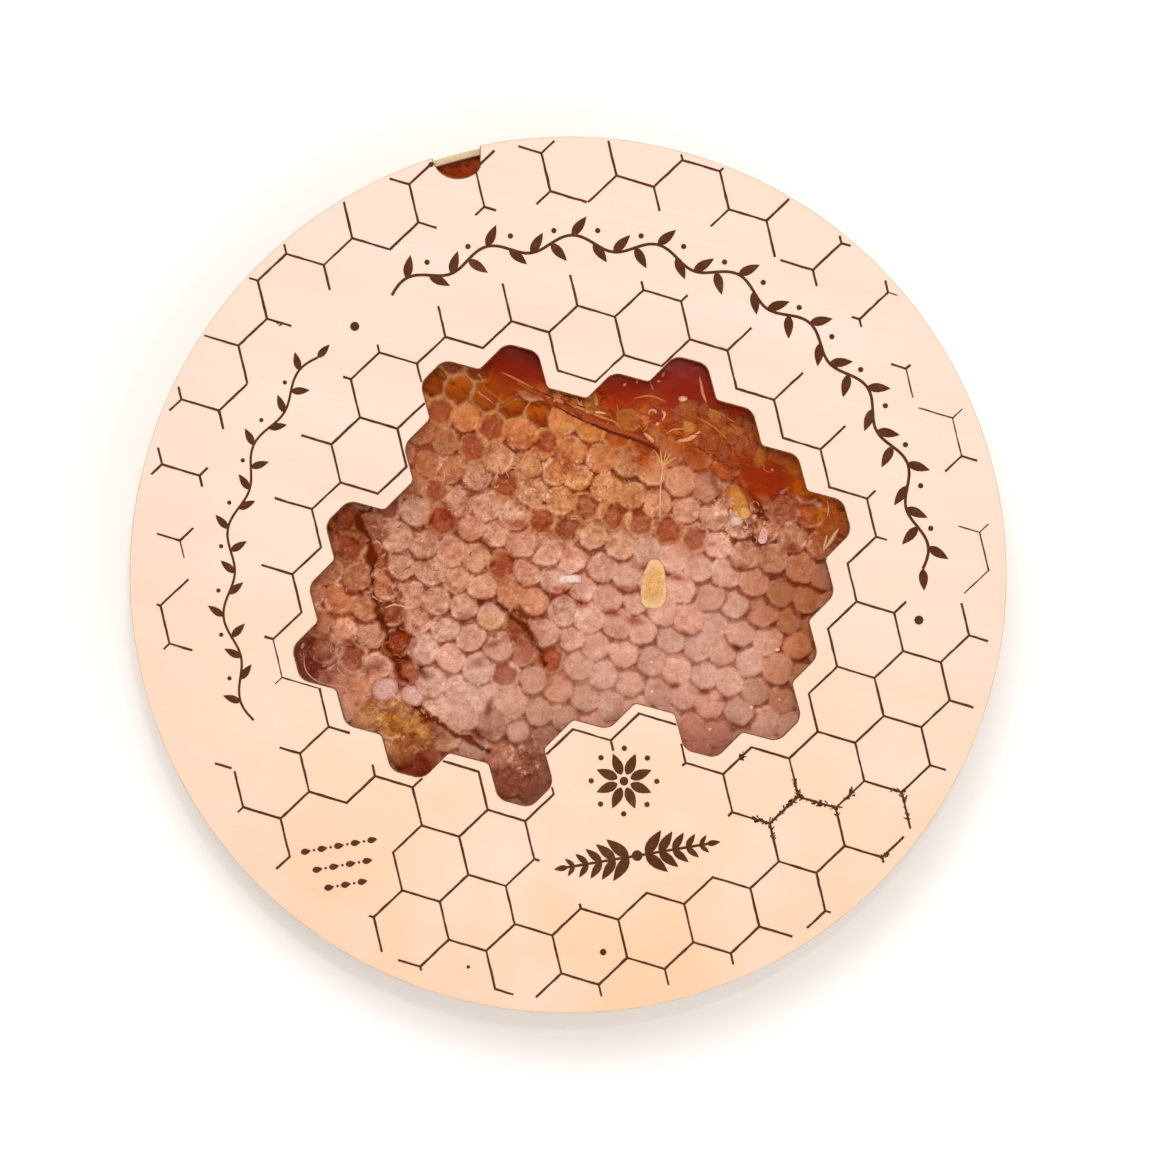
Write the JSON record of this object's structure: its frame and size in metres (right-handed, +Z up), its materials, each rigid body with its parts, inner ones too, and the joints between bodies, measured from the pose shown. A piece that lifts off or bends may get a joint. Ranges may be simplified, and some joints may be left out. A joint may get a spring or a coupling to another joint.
{
  "type": "shut round wooden pack of honeycomb",
  "caption": "Shut round flat wooden pack: a disc lid with a honeycomb-shaped window shows capped comb and honey under clear film.",
  "frame": {"origin": "centre of the pack's underside, on the surface it rests on", "axes": "+Z up through the lid, +Y towards the finger notch's side of the lid, +X to the right of that, seen from above"},
  "size_m": [0.16, 0.16, 0.0283],
  "materials": {
    "board": "pale birch board, sanded and bare, printed with thin dark lines",
    "veneer": "bent bare veneer, fine vertical grain",
    "film": "clear thin film, slightly wrinkled",
    "wax": "capped beeswax comb, satin, wet with honey in places",
    "honey": "dark amber honey, glossy"
  },
  "bodies": {
    "root": {"base": "board", "hoop": "veneer", "lid": "board", "window_film": "film", "honeycomb": "wax", "honey": "honey"}
  },
  "joints": []
}
